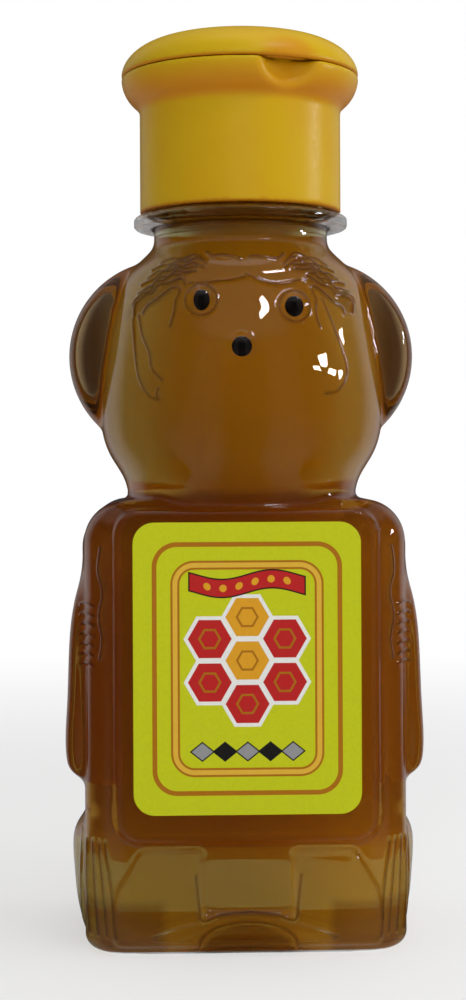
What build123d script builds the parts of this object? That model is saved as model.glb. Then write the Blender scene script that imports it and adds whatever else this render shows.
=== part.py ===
from build123d import *
import math
import os

# Bear bottle: heights of the stacked stretches, from the table up
TORSO_HEIGHT = 68.4
HEAD_HEIGHT = 40.9
NECK_HEIGHT = 2.0
RING_THICKNESS = 1.8
FINISH_HEIGHT = 17.6
WALL = 0.6

# Torso: a block with round corners
TORSO_WIDTH = 49.4
TORSO_DEPTH = 36.2
TORSO_CORNER = 7.0
SHOULDER_ROUND = 6.4
HEEL_ROUND = 2.2

# Label panels, moulded proud of the torso's front and back
PANEL_WIDTH = 40.0
PANEL_BOTTOM = 16.9
PANEL_TOP_DROP = 1.2
PANEL_CORNER = 4.0
PANEL_RISE = 1.2
PANEL_EDGE = 1.0

# Push-up in the base
PUSHUP_RADIUS = 15.0
PUSHUP_RISE = 3.0

# Head: turned about the upright axis
HEAD_RADIUS = 22.4
WAIST_RADIUS = 18.0
NECK_RADIUS = 13.6
HEAD_PROFILE_SHARES = [
    (0.84, 0.08),
    (0.929, 0.164),
    (1.0, 0.306),
    (0.955, 0.599),
    (0.875, 0.795),
    (0.786, 0.885),
    (0.643, 0.963),
]

# Ears: thick discs with a dished front; heights on the head are taken from the top of the torso
EAR_RADIUS = 12.2
EAR_THICKNESS = 12.0
EAR_ROUND = 5.6
EAR_REACH = 15.1
EAR_CLIMB = 23.7
EAR_DISH_RADIUS = 7.8
EAR_DISH_DEPTH = 1.2

# Face: muzzle, nose and eyes
MUZZLE_WIDTH = 22.0
MUZZLE_HEIGHT = 24.0
MUZZLE_DEPTH = 17.0
MUZZLE_TIP = 24.4
MUZZLE_CLIMB = 18.6
NOSE_RADIUS = 2.2
NOSE_X = -0.8
NOSE_CLIMB = 22.8
NOSE_RISE = 1.0
EYE_RADIUS = 2.4
EYE_RISE = 1.2
LEFT_EYE_X = -6.6
LEFT_EYE_CLIMB = 30.0
RIGHT_EYE_X = 7.2
RIGHT_EYE_CLIMB = 29.0
NOSE_INK_WIDTH = 2.95
NOSE_INK_HEIGHT = 2.95
LEFT_INK_WIDTH = 2.4
LEFT_INK_HEIGHT = 3.1
RIGHT_INK_WIDTH = 2.7
RIGHT_INK_HEIGHT = 3.0
INK_THICKNESS = 0.08

# Arms: laid along the sides
ARM_SPAN = 55.5
ARM_DEPTH = 25.0
ARM_CORNER = 3.5
ARM_TOP_DROP = 3.8
ARM_BOTTOM = 25.0
ARM_OUTLINE_SHARES = [
    (0.836, 0.985),
    (0.897, 0.877),
    (0.937, 0.732),
    (0.98, 0.49),
    (0.993, 0.27),
    (1.0, 0.152),
    (0.975, 0.062),
]
ARM_FOOT_SHARE = 0.9
ARM_ROOT_SHARE = 0.5

# Legs: the thighs and feet that swell from the sides
LEG_SPAN = 54.2
LEG_DEPTH = 44.0
LEG_TOP = 20.4
LEG_OUTLINE_SHARES = [
    (0.93, 0.91),
    (0.985, 0.8),
    (1.0, 0.67),
    (0.993, 0.48),
    (0.967, 0.2),
]
LEG_FOOT_SHARE = 0.937
LEG_ROOT_SHARE = 0.62

# Soles: two flat pads at the front
SOLE_WIDTH = 13.4
SOLE_GAP = 13.2
SOLE_BOTTOM = 1.8
SOLE_HEIGHT = 14.4
SOLE_SLANT_WIDTH = 4.0
SOLE_SLANT_HEIGHT = 6.7
SOLE_ROUND = 1.5
SOLE_RISE = 1.2
TOE_LIP_HEIGHT = 4.8

# Neck finish: mouth, thread and carrying ring
RING_RADIUS = 17.0
MOUTH_RADIUS = 10.9
FINISH_RADIUS = 12.9
THREAD_RADIUS = 13.9
THREAD_PITCH = 4.2333
THREAD_TURNS = 1.5
THREAD_ROOT_WIDTH = 1.9
THREAD_CREST_WIDTH = 0.9
THREAD_TOP_DROP = 3.0
THREAD_SINK = 0.3
THREAD_CLEARANCE = 0.3
RIM_ROUND = 0.4

# Honey: how far its level stands above the carrying ring
HONEY_RISE = 2.0

# Labels: margins to the edges of their panel
LABEL_SIDE_MARGIN = 2.9
LABEL_FOOT_MARGIN = 4.5
LABEL_TOP_MARGIN = 2.0
LABEL_CORNER = 3.2
LABEL_THICKNESS = 0.12

# Screw cap with its flared rim
CAP_RADIUS = 16.0
CAP_WALL = 1.3
CAP_RING_GAP = 0.7
CAP_THREAD_RADIUS = 13.4
CAP_TURN = 22.5
LINER_THICKNESS = 0.8
LINER_BORE_RADIUS = 9.4
LINER_SIDE_GAP = 0.3
DECK_THICKNESS = 1.5
DECK_DEPTH = 2.3
FLARE_RADIUS = 18.9
FLARE_ROUND = 5.6
COLLAR_RISE = 0.8
COLLAR_WALL = 1.1
NOZZLE_RADIUS = 4.2
NOZZLE_RISE = 3.0
ORIFICE_RADIUS = 3.0
THUMB_WIDTH = 7.6
THUMB_HEIGHT = 4.8
THUMB_ROUND = 2.2

# Flip lid
LID_GAP = 0.12
LID_HEIGHT = 6.0
LID_EDGE = 9.0
LID_WALL = 1.2
LID_RING_WALL = 0.8
LID_RING_GAP = 0.2
PLUG_GAP = 0.1
PLUG_DEPTH = 1.5
PLUG_ROUND = 0.8

# Living hinge behind the cap
HINGE_REACH = 0.35
HINGE_WEB = 0.25
HINGE_WIDTH = 7.0
HINGE_LUG = 1.2
HINGE_LUG_DEPTH = 1.2
HINGE_GAP = 0.25

# One overrun serves every cut
OVERRUN = 5.0

# Heights worked out from the stack
HEAD_TOP = TORSO_HEIGHT + HEAD_HEIGHT
RING_BOTTOM = HEAD_TOP + NECK_HEIGHT
RING_TOP = RING_BOTTOM + RING_THICKNESS
MOUTH_TOP = RING_TOP + FINISH_HEIGHT
DECK_BOTTOM = MOUTH_TOP + LINER_THICKNESS
DECK_TOP = DECK_BOTTOM + DECK_THICKNESS
PARTING = DECK_TOP + DECK_DEPTH
CAP_BOTTOM = RING_TOP + CAP_RING_GAP
LID_TOP = PARTING + LID_HEIGHT
HALF_DEPTH = TORSO_DEPTH / 2
PANEL_FACE = HALF_DEPTH + PANEL_RISE
PANEL_TOP = TORSO_HEIGHT - PANEL_TOP_DROP
LABEL_WIDTH = PANEL_WIDTH - 2 * LABEL_SIDE_MARGIN
LABEL_BOTTOM = PANEL_BOTTOM + LABEL_FOOT_MARGIN
LABEL_HEIGHT = PANEL_TOP - LABEL_TOP_MARGIN - LABEL_BOTTOM
ARM_TOP = TORSO_HEIGHT - ARM_TOP_DROP
EAR_Z = TORSO_HEIGHT + EAR_CLIMB
MUZZLE_Z = TORSO_HEIGHT + MUZZLE_CLIMB
NOSE_Z = TORSO_HEIGHT + NOSE_CLIMB
LEFT_EYE_Z = TORSO_HEIGHT + LEFT_EYE_CLIMB
RIGHT_EYE_Z = TORSO_HEIGHT + RIGHT_EYE_CLIMB


def standing(shape):
    """Stand a shape drawn in plan upright, so that its own up axis faces the front."""
    return Rot(90, 0, 0) * shape


def inward(points, inset):
    """Move each point of an open outline towards its left-hand side by the inset."""
    moved = []
    for index, (x, z) in enumerate(points):
        before = points[max(index - 1, 0)]
        after = points[min(index + 1, len(points) - 1)]
        run = math.hypot(after[0] - before[0], after[1] - before[1])
        moved.append((
            x - (after[1] - before[1]) / run * inset,
            z + (after[0] - before[0]) / run * inset,
        ))
    return moved


def torso(inset):
    """The block between the table and the shoulders."""
    plan = RectangleRounded(
        TORSO_WIDTH - 2 * inset,
        TORSO_DEPTH - 2 * inset,
        TORSO_CORNER - inset,
    )
    block = Location((0, 0, inset)) * extrude(plan, TORSO_HEIGHT - 2 * inset)
    block = fillet(block.edges().group_by(Axis.Z)[-1], SHOULDER_ROUND - inset)
    return fillet(block.edges().group_by(Axis.Z)[0], HEEL_ROUND - inset)


def panels(inset):
    """Front and back label panels as one slab through the torso."""
    height = PANEL_TOP - PANEL_BOTTOM
    plan = RectangleRounded(PANEL_WIDTH - 2 * inset, height - 2 * inset, PANEL_CORNER - inset)
    depth = 2 * (PANEL_FACE - inset)
    slab = extrude(plan, depth / 2, both=True)
    edges = slab.edges().group_by(Axis.Z)
    slab = fillet(edges[-1] + edges[0], PANEL_EDGE - inset / 2)
    return Location((0, 0, (PANEL_TOP + PANEL_BOTTOM) / 2)) * standing(slab)


def head(inset):
    """The head, turned about the upright axis, down to its waist and a root in the torso."""
    points = [(WAIST_RADIUS, TORSO_HEIGHT)]
    for radius_share, height_share in HEAD_PROFILE_SHARES:
        points.append((HEAD_RADIUS * radius_share, TORSO_HEIGHT + HEAD_HEIGHT * height_share))
    points.append((NECK_RADIUS, HEAD_TOP))
    inner = inward(points, inset)
    inner[0] = (WAIST_RADIUS - inset, TORSO_HEIGHT)
    inner[-1] = (NECK_RADIUS - inset, HEAD_TOP)
    root = TORSO_HEIGHT - SHOULDER_ROUND
    curve = Spline(inner, tangents=[(0, 1), (0, 1)])
    sides = Polyline(
        (NECK_RADIUS - inset, HEAD_TOP),
        (0, HEAD_TOP),
        (0, root),
        (WAIST_RADIUS - inset, root),
        (WAIST_RADIUS - inset, TORSO_HEIGHT),
    )
    outline = make_face(Wire([curve] + sides.edges()))
    return revolve(Plane.XZ * outline, Axis.Z)


def ear(side, inset):
    """One ear; the dish in its front keeps the wall's thickness."""
    disc = Cylinder(EAR_RADIUS - inset, EAR_THICKNESS - 2 * inset)
    disc = fillet(disc.edges().filter_by(GeomType.CIRCLE), EAR_ROUND - inset)
    dish_ball = (EAR_DISH_RADIUS**2 + EAR_DISH_DEPTH**2) / (2 * EAR_DISH_DEPTH)
    face = EAR_THICKNESS / 2
    dish = Location((0, 0, face + dish_ball - EAR_DISH_DEPTH)) * Sphere(dish_ball + inset)
    return Location((side * EAR_REACH, 0, EAR_Z)) * standing(disc - dish)


def muzzle(inset):
    """The snout, an egg that swells from the face."""
    centre_y = -(MUZZLE_TIP - MUZZLE_DEPTH / 2)
    sizes = (MUZZLE_WIDTH / 2 - inset, MUZZLE_DEPTH / 2 - inset, MUZZLE_HEIGHT / 2 - inset)
    return Location((0, centre_y, MUZZLE_Z)) * scale(Sphere(1), by=sizes)


def head_radius_at(z):
    """Radius of the head at a height, read off its outline."""
    stations = [(0, WAIST_RADIUS)]
    for radius_share, height_share in HEAD_PROFILE_SHARES:
        stations.append((HEAD_HEIGHT * height_share, HEAD_RADIUS * radius_share))
    stations.append((HEAD_HEIGHT, NECK_RADIUS))
    rise = z - TORSO_HEIGHT
    for (low, low_radius), (high, high_radius) in zip(stations, stations[1:]):
        if rise <= high:
            return low_radius + (high_radius - low_radius) * (rise - low) / (high - low)
    return NECK_RADIUS


def muzzle_reach_at(x, z):
    """How far the snout reaches to the front at a place on the face."""
    across = x / (MUZZLE_WIDTH / 2)
    up = (z - MUZZLE_Z) / (MUZZLE_HEIGHT / 2)
    bulge = math.sqrt(max(1 - across**2 - up**2, 0))
    return MUZZLE_TIP - MUZZLE_DEPTH / 2 + MUZZLE_DEPTH / 2 * bulge


def face_points():
    """Centres of the three round bumps that carry the nose and the eyes."""
    points = {}
    for name, x, z in (
        ("eye_left", LEFT_EYE_X, LEFT_EYE_Z),
        ("eye_right", RIGHT_EYE_X, RIGHT_EYE_Z),
    ):
        skin = math.sqrt(head_radius_at(z) ** 2 - x**2)
        points[name] = (x, -(skin + EYE_RISE - EYE_RADIUS), z, EYE_RADIUS)
    reach = muzzle_reach_at(NOSE_X, NOSE_Z)
    points["nose"] = (NOSE_X, -(reach + NOSE_RISE - NOSE_RADIUS), NOSE_Z, NOSE_RADIUS)
    return points


def face_bumps(inset):
    """The round bumps under the ink of the nose and the eyes."""
    bumps = []
    for x, y, z, radius in face_points().values():
        bumps.append(Location((x, y, z)) * Sphere(radius - inset))
    return bumps


def side_form(span, depth, corner, top, bottom, shares, foot_share, root_share, inset):
    """A limb pair: an upright outline on each side, rounded in plan."""
    half = span / 2 - inset
    height = top - bottom - 2 * inset
    root = half * root_share
    low = bottom + inset
    points = [(half * out, low + height * up) for out, up in shares]
    points.append((half * foot_share, low))
    curve = Spline(points)
    sides = Polyline(points[-1], (root, low), (root, top - inset), points[0])
    outline = make_face(Wire([curve] + sides.edges()))
    limb = extrude(standing(outline), depth, both=True)
    if corner:
        plan = RectangleRounded(2 * half, depth - 2 * inset, corner - inset)
    else:
        plan = Ellipse(half, depth / 2 - inset)
    column = extrude(plan, top)
    right = limb & column
    return [right, mirror(right, Plane.YZ)]


def arms(inset):
    """Both arms, laid along the torso's sides."""
    return side_form(
        ARM_SPAN, ARM_DEPTH, ARM_CORNER, ARM_TOP, ARM_BOTTOM,
        ARM_OUTLINE_SHARES, ARM_FOOT_SHARE, ARM_ROOT_SHARE, inset,
    )


def legs(inset):
    """Both thighs with their feet."""
    return side_form(
        LEG_SPAN, LEG_DEPTH, 0, LEG_TOP, 0,
        LEG_OUTLINE_SHARES, LEG_FOOT_SHARE, LEG_ROOT_SHARE, inset,
    )


def soles(inset):
    """The flat pads of the feet at the front, joined by a low lip."""
    inner_x = SOLE_GAP / 2
    outer_x = inner_x + SOLE_WIDTH
    top = SOLE_BOTTOM + SOLE_HEIGHT
    outline = Polyline(
        (inner_x + inset, SOLE_BOTTOM + inset),
        (outer_x - inset, SOLE_BOTTOM + inset),
        (outer_x - inset, top - SOLE_SLANT_HEIGHT),
        (outer_x - SOLE_SLANT_WIDTH, top - inset),
        (inner_x + inset, top - inset),
        close=True,
    )
    pad = make_face(outline)
    pad = fillet(pad.vertices(), SOLE_ROUND - inset)
    reach = HALF_DEPTH + SOLE_RISE - inset
    right = standing(extrude(pad, reach))
    lip = Location((0, -reach / 2, SOLE_BOTTOM + TOE_LIP_HEIGHT / 2)) * Box(
        SOLE_GAP + SOLE_WIDTH, reach, TOE_LIP_HEIGHT - 2 * inset
    )
    return [right, mirror(right, Plane.YZ), lip]


def pushup(inset):
    """The shallow dome pressed up into the base."""
    ball = (PUSHUP_RADIUS**2 + PUSHUP_RISE**2) / (2 * PUSHUP_RISE)
    cap = Location((0, 0, PUSHUP_RISE - ball)) * Sphere(ball + inset)
    room = Cylinder(ball, 2 * PUSHUP_RISE + 2 * OVERRUN)
    return cap & room


def bear_form(inset):
    """The whole bear below its neck, shrunk by the inset on every side."""
    form = torso(inset)
    pieces = [panels(inset), head(inset), ear(-1, inset), ear(1, inset), muzzle(inset)]
    pieces += face_bumps(inset) + arms(inset) + legs(inset) + soles(inset)
    for piece in pieces:
        form = form + piece
    return form - pushup(inset)


def thread(radius_root, radius_crest, z_low, turns):
    """A right-hand thread with slanting flanks, as one swept solid."""
    side = 1 if radius_crest > radius_root else -1
    start = radius_root - side * THREAD_SINK
    path = Helix(THREAD_PITCH, THREAD_PITCH * turns, radius_root)
    flank = (THREAD_ROOT_WIDTH - THREAD_CREST_WIDTH) / 2
    sunk = THREAD_ROOT_WIDTH / 2 + flank * THREAD_SINK / abs(radius_crest - radius_root)
    section = Polyline(
        (start, -sunk),
        (start, sunk),
        (radius_crest, THREAD_CREST_WIDTH / 2),
        (radius_crest, -THREAD_CREST_WIDTH / 2),
        close=True,
    )
    tooth = Plane.XZ * make_face(section)
    return Location((0, 0, z_low)) * sweep(tooth, path=path, is_frenet=True)


def finish_thread_z():
    """Height of the lower end of the bottle's thread, at its middle."""
    return MOUTH_TOP - THREAD_TOP_DROP - THREAD_PITCH * THREAD_TURNS


def cap_thread_z():
    """The cap's thread runs under the bottle's, a clearance below its flank."""
    overlap = THREAD_RADIUS - CAP_THREAD_RADIUS
    flank = (THREAD_ROOT_WIDTH - THREAD_CREST_WIDTH) / 2
    own = flank * overlap / (CAP_RADIUS - CAP_WALL - CAP_THREAD_RADIUS)
    pitch_gap = THREAD_CREST_WIDTH + max(own, flank * overlap / (THREAD_RADIUS - FINISH_RADIUS))
    turned = THREAD_PITCH * CAP_TURN / 360
    return finish_thread_z() - pitch_gap - THREAD_CLEARANCE + turned


def bottle():
    """The bear, a thin clear shell that is open at the top, where its neck begins."""
    return bear_form(0) - bear_form(WALL)


def bottle_neck():
    """The top of the same moulding: neck, carrying ring and threaded finish."""
    neck_height = MOUTH_TOP - HEAD_TOP
    neck = Location((0, 0, HEAD_TOP + (RING_TOP - HEAD_TOP) / 2)) * Cylinder(
        NECK_RADIUS, RING_TOP - HEAD_TOP
    )
    ring = Location((0, 0, RING_BOTTOM + RING_THICKNESS / 2)) * Cylinder(RING_RADIUS, RING_THICKNESS)
    ring = fillet(ring.edges().filter_by(GeomType.CIRCLE), RIM_ROUND)
    tube = Location((0, 0, RING_TOP + FINISH_HEIGHT / 2)) * Cylinder(FINISH_RADIUS, FINISH_HEIGHT)
    tube = fillet(tube.edges().group_by(Axis.Z)[-1], RIM_ROUND)
    form = neck + ring + tube
    form = form + thread(FINISH_RADIUS, THREAD_RADIUS, finish_thread_z(), THREAD_TURNS)
    bore_height = neck_height + 2 * OVERRUN
    return form - Location((0, 0, HEAD_TOP + neck_height / 2)) * Cylinder(MOUTH_RADIUS, bore_height)


def honey():
    """The contents, up to a little above the carrying ring."""
    level = RING_TOP + HONEY_RISE
    stub = Location((0, 0, level - (level - HEAD_TOP + WALL) / 2)) * Cylinder(
        MOUTH_RADIUS, level - HEAD_TOP + WALL
    )
    return bear_form(WALL) + stub


def ink_dot(name, width, height):
    """A printed dot: a thin skin on its bump, seen from the front as an oval."""
    x, y, z, radius = face_points()[name]
    place = Location((x, y, z))
    skin = place * (Sphere(radius + INK_THICKNESS) - Sphere(radius))
    column = place * standing(extrude(Ellipse(width / 2, height / 2), radius + OVERRUN))
    return (skin & column) - head(0) - muzzle(0)


def label(side):
    """A printed sheet, flat on its panel; side is -1 at the front and 1 at the back."""
    sheet = extrude(RectangleRounded(LABEL_WIDTH, LABEL_HEIGHT, LABEL_CORNER), LABEL_THICKNESS)
    front = Location((0, -PANEL_FACE, LABEL_BOTTOM + LABEL_HEIGHT / 2)) * standing(sheet)
    return front if side < 0 else mirror(front, Plane.XZ)


def cap_liner():
    """Foam washer between the mouth and the cap's deck."""
    radius = CAP_THREAD_RADIUS - LINER_SIDE_GAP
    washer = Cylinder(radius, LINER_THICKNESS) - Cylinder(LINER_BORE_RADIUS, LINER_THICKNESS)
    return Location((0, 0, MOUTH_TOP + LINER_THICKNESS / 2)) * washer


def cap_section():
    """Half section of the solid cap: a straight skirt under a flare with a round side."""
    centre_r = FLARE_RADIUS - FLARE_ROUND
    foot_angle = math.acos((CAP_RADIUS - centre_r) / FLARE_ROUND)
    foot_z = PARTING - FLARE_ROUND * math.sin(foot_angle)
    flare = ThreePointArc(
        (CAP_RADIUS, foot_z),
        (
            centre_r + FLARE_ROUND * math.cos(foot_angle / 2),
            PARTING - FLARE_ROUND * math.sin(foot_angle / 2),
        ),
        (FLARE_RADIUS, PARTING),
    )
    sides = Polyline(
        (FLARE_RADIUS, PARTING),
        (0, PARTING),
        (0, CAP_BOTTOM),
        (CAP_RADIUS, CAP_BOTTOM),
        (CAP_RADIUS, foot_z),
    )
    return Plane.XZ * make_face(Wire([flare] + sides.edges()))


def cap_base():
    """Screw cap: threaded skirt, deck with its pouring nozzle, flared rim with a thumb recess."""
    inner_r = CAP_RADIUS - CAP_WALL
    cap = revolve(cap_section(), Axis.Z)
    cap = cap - Location((0, 0, (CAP_BOTTOM + DECK_BOTTOM) / 2)) * Cylinder(
        inner_r, DECK_BOTTOM - CAP_BOTTOM
    )
    cap = cap - Location((0, 0, DECK_TOP + DECK_DEPTH / 2)) * Cylinder(inner_r, DECK_DEPTH)
    collar_height = DECK_DEPTH + COLLAR_RISE
    collar = Location((0, 0, DECK_TOP + collar_height / 2)) * (
        Cylinder(inner_r + COLLAR_WALL, collar_height) - Cylinder(inner_r, collar_height)
    )
    nozzle = Location((0, 0, DECK_TOP + NOZZLE_RISE / 2)) * Cylinder(NOZZLE_RADIUS, NOZZLE_RISE)
    nozzle = fillet(nozzle.edges().group_by(Axis.Z)[-1], RIM_ROUND)
    cap = cap + collar + nozzle
    cap = cap - Location((0, 0, DECK_TOP)) * Cylinder(ORIFICE_RADIUS, 2 * (NOZZLE_RISE + OVERRUN))
    cap = cap - thumb_recess()
    cap = cap + thread(inner_r, CAP_THREAD_RADIUS, cap_thread_z(), THREAD_TURNS)
    cap = cap + hinge_lug(-1)
    return Rot(0, 0, CAP_TURN) * cap


def thumb_recess():
    """The scoop at the front of the flare, where a thumb lifts the lid."""
    scoop = RectangleRounded(THUMB_WIDTH, 2 * THUMB_HEIGHT, THUMB_ROUND)
    tool = standing(extrude(scoop, FLARE_RADIUS + OVERRUN))
    band = Cylinder(CAP_RADIUS, 4 * THUMB_HEIGHT)
    return Location((0, 0, PARTING)) * (tool - band)


def hinge_lug(side):
    """A small block under or over the hinge axis that holds one side of the web."""
    radius = FLARE_RADIUS + HINGE_REACH
    box = Box(HINGE_WIDTH, HINGE_LUG_DEPTH, HINGE_LUG)
    centre_z = PARTING + side * (HINGE_GAP + HINGE_LUG / 2)
    return Location((0, radius - HINGE_LUG_DEPTH / 2, centre_z)) * box


def hinge_web():
    """The thin living hinge on the lid's axis, between the two lugs."""
    radius = FLARE_RADIUS + HINGE_REACH
    web = Box(HINGE_WIDTH, HINGE_WEB, 2 * HINGE_GAP)
    return Rot(0, 0, CAP_TURN) * Location((0, radius - HINGE_WEB / 2, PARTING)) * web


def dome_face(inset):
    """Half section of the lid's dome: a flat middle and a quarter-oval edge."""
    bottom = PARTING + LID_GAP
    height = LID_TOP - bottom - inset
    flat_r = FLARE_RADIUS - LID_EDGE
    edge = LID_EDGE - inset
    quarter = EllipticalCenterArc(
        (flat_r, bottom), edge, height, start_angle=0, arc_size=90
    )
    sides = Polyline(
        (flat_r, bottom + height),
        (0, bottom + height),
        (0, bottom),
        (flat_r + edge, bottom),
    )
    return Plane.XZ * make_face(Wire([quarter] + sides.edges()))


def flip_lid():
    """Domed lid with the plug that stops the nozzle."""
    dome = revolve(dome_face(0), Axis.Z)
    lid = dome - revolve(dome_face(LID_WALL), Axis.Z)
    ring_r = CAP_RADIUS - CAP_WALL + COLLAR_WALL + LID_RING_GAP
    ring_z = PARTING + LID_GAP
    ring = Cylinder(ring_r + LID_RING_WALL, LID_HEIGHT) - Cylinder(ring_r, LID_HEIGHT)
    lid = lid + (Location((0, 0, ring_z + LID_HEIGHT / 2)) * ring & dome)
    tip = DECK_TOP + NOZZLE_RISE - PLUG_DEPTH
    length = LID_TOP - LID_WALL / 2 - tip
    plug = Location((0, 0, tip + length / 2)) * Cylinder(ORIFICE_RADIUS - PLUG_GAP, length)
    plug = fillet(plug.edges().group_by(Axis.Z)[0], PLUG_ROUND)
    lid = lid + plug + hinge_lug(1)
    return Rot(0, 0, CAP_TURN) * lid


def main():
    """Build every sub-part and write it under its own name."""
    os.makedirs("parts", exist_ok=True)
    subparts = {
        "bottle": bottle(),
        "bottle_neck": bottle_neck(),
        "honey": honey(),
        "front_label": label(-1),
        "back_label": label(1),
        "eye_left": ink_dot("eye_left", LEFT_INK_WIDTH, LEFT_INK_HEIGHT),
        "eye_right": ink_dot("eye_right", RIGHT_INK_WIDTH, RIGHT_INK_HEIGHT),
        "nose": ink_dot("nose", NOSE_INK_WIDTH, NOSE_INK_HEIGHT),
        "cap_liner": cap_liner(),
        "cap_base": cap_base(),
        "hinge_web": hinge_web(),
        "flip_lid": flip_lid(),
    }
    for name, solid in subparts.items():
        export_step(solid, os.path.join("parts", name + ".step"))


main()
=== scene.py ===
# Bear bottle full of honey, with its labels and its flip-top screw cap
import math
import bmesh
import bpy
import numpy as np
from mathutils import Matrix, Vector


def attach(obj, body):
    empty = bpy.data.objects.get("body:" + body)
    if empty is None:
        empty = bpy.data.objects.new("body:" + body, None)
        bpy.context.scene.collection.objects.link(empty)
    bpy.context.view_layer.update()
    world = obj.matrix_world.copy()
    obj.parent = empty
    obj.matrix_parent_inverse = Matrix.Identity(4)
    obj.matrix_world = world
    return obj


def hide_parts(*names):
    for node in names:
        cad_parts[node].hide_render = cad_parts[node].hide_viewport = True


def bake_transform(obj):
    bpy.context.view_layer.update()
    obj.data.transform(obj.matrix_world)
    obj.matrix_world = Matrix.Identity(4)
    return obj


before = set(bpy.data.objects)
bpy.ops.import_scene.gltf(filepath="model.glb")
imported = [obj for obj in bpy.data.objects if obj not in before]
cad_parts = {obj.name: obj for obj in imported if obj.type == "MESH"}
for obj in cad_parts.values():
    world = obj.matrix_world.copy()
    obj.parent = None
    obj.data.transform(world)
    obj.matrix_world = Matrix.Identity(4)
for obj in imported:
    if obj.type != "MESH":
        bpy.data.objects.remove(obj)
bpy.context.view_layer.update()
mm = 0.001  # the shapes below are worked out in millimetres and turned into metres at the end

# Camera, at the height and distance that the photograph gives
cameraSet = {
    "distance": 297.6,
    "eyeHeight": 74.5,
    "azimuth": 2.2,  # the bear faces a little to the right of the camera
    "lens": 66.96,
    "sensor": 36,
    "nearest": 0.01,
    "frameHeight": 1000,
    "focalPixels": 1860,
    "axisPixelsRight": 8.5,
    "horizonPixelsUp": 40,  # the lens is shifted by this, so that upright edges stay upright
    "roll": -0.27,
}


def stand(name, data):
    # puts a mesh, a lamp or a camera into the scene
    thing = bpy.data.objects.new(name, data)
    bpy.context.scene.collection.objects.link(thing)
    return thing


def makeCamera():
    data = bpy.data.cameras.new("camera")
    data.lens = cameraSet["lens"]
    data.sensor_width = cameraSet["sensor"]
    data.clip_start = cameraSet["nearest"]
    data.dof.use_dof = False
    camera = stand("camera", data)
    around = math.radians(cameraSet["azimuth"])
    pan = math.atan(cameraSet["axisPixelsRight"] / cameraSet["focalPixels"])
    data.shift_y = -cameraSet["horizonPixelsUp"] / cameraSet["frameHeight"]
    reach = cameraSet["distance"] * mm
    place = (-math.sin(around) * reach, -math.cos(around) * reach, cameraSet["eyeHeight"] * mm)
    camera.matrix_world = (
        Matrix.Translation(place)
        @ Matrix.Rotation(pan - around, 4, "Z")
        @ Matrix.Rotation(math.pi / 2, 4, "X")
        @ Matrix.Rotation(math.radians(cameraSet["roll"]), 4, "Z")
    )
    bpy.context.scene.camera = camera


makeCamera()
print("camera set")

# Shapes as distance fields: negative inside, in millimetres


def blend(a, b, width):
    # joins two solids with a round fillet
    share = np.clip(0.5 + 0.5 * (b - a) / width, 0, 1)
    return b + (a - b) * share - width * share * (1 - share)


def carve(a, b, width):
    # keeps what lies in both, with a round edge
    return -blend(-a, -b, width)


def roundEdge(a, b, radius):
    # two sides that meet in a round edge
    a = a + radius
    b = b + radius
    return np.minimum(np.maximum(a, b), 0) + np.hypot(np.maximum(a, 0), np.maximum(b, 0)) - radius


def plate(u, v, halfU, halfV, corner):
    return roundEdge(np.abs(u) - halfU, np.abs(v) - halfV, corner)


def ball(x, y, z, centre, radius):
    return np.sqrt((x - centre[0]) ** 2 + (y - centre[1]) ** 2 + (z - centre[2]) ** 2) - radius


def scaledBall(offsets, radii):
    # roughly the distance to an egg with these half sizes
    parts = [offset / radius for offset, radius in zip(offsets, radii)]
    near = np.sqrt(sum(part * part for part in parts))
    far = np.sqrt(sum((part / radius) ** 2 for part, radius in zip(parts, radii)))
    return near * (near - 1) / np.maximum(far, 1e-6)


def egg(x, y, z, centre, radii):
    return scaledBall((x - centre[0], y - centre[1], z - centre[2]), radii)


def smoothCurve(stations, step=0.05):
    # a smooth curve through the stations, level at both ends, as a fine table of place, size and slope
    place, size = np.array(stations, float).T
    gap = np.diff(place)
    rise = np.diff(size) / gap
    count = len(place)
    system, wanted = np.eye(count), np.zeros(count)
    for i in range(1, count - 1):
        system[i, i - 1: i + 2] = gap[i], 2 * (gap[i - 1] + gap[i]), gap[i - 1]
        wanted[i] = 3 * (gap[i] * rise[i - 1] + gap[i - 1] * rise[i])
    slope = np.linalg.solve(system, wanted)
    fine = np.arange(place[0], place[-1] + step, step)
    cell = np.clip(np.searchsorted(place, fine) - 1, 0, count - 2)
    t = (fine - place[cell]) / gap[cell]
    value = (
        size[cell] * (1 + 2 * t) * (1 - t) ** 2 + size[cell + 1] * t * t * (3 - 2 * t)
        + gap[cell] * (slope[cell] * t * (1 - t) ** 2 - slope[cell + 1] * t * t * (1 - t))
    )
    return fine, value, 1 / np.sqrt(1 + np.gradient(value, step) ** 2)


def along(curve, z):
    return np.interp(z, curve[0], curve[1]), np.interp(z, curve[0], curve[2])


threadForm = {"sunk": 0.3, "runOut": 20, "steep": 0.9, "edge": 0.3}


def threadField(x, y, z, base, crest, low, pitch, turns, root, tip):
    # the ridge of a thread on a round wall with radius base, which points inward where the crest is smaller
    outward = np.sign(crest - base)
    rho = np.hypot(x, y)
    turn = np.mod(np.arctan2(y, x) / (2 * math.pi), 1)
    lap = np.round((z - low) / pitch - turn) + turn
    ends = np.clip(np.minimum(lap, turns - lap) * threadForm["runOut"], -1, 1)
    flank = np.abs(z - low - pitch * lap) - root + (rho - base) * (root - tip) / (crest - base)
    foot = base - threadForm["sunk"] * outward
    top = outward * (rho - foot - (crest - foot) * ends)
    return carve(top, flank * threadForm["steep"], threadForm["edge"])


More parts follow.
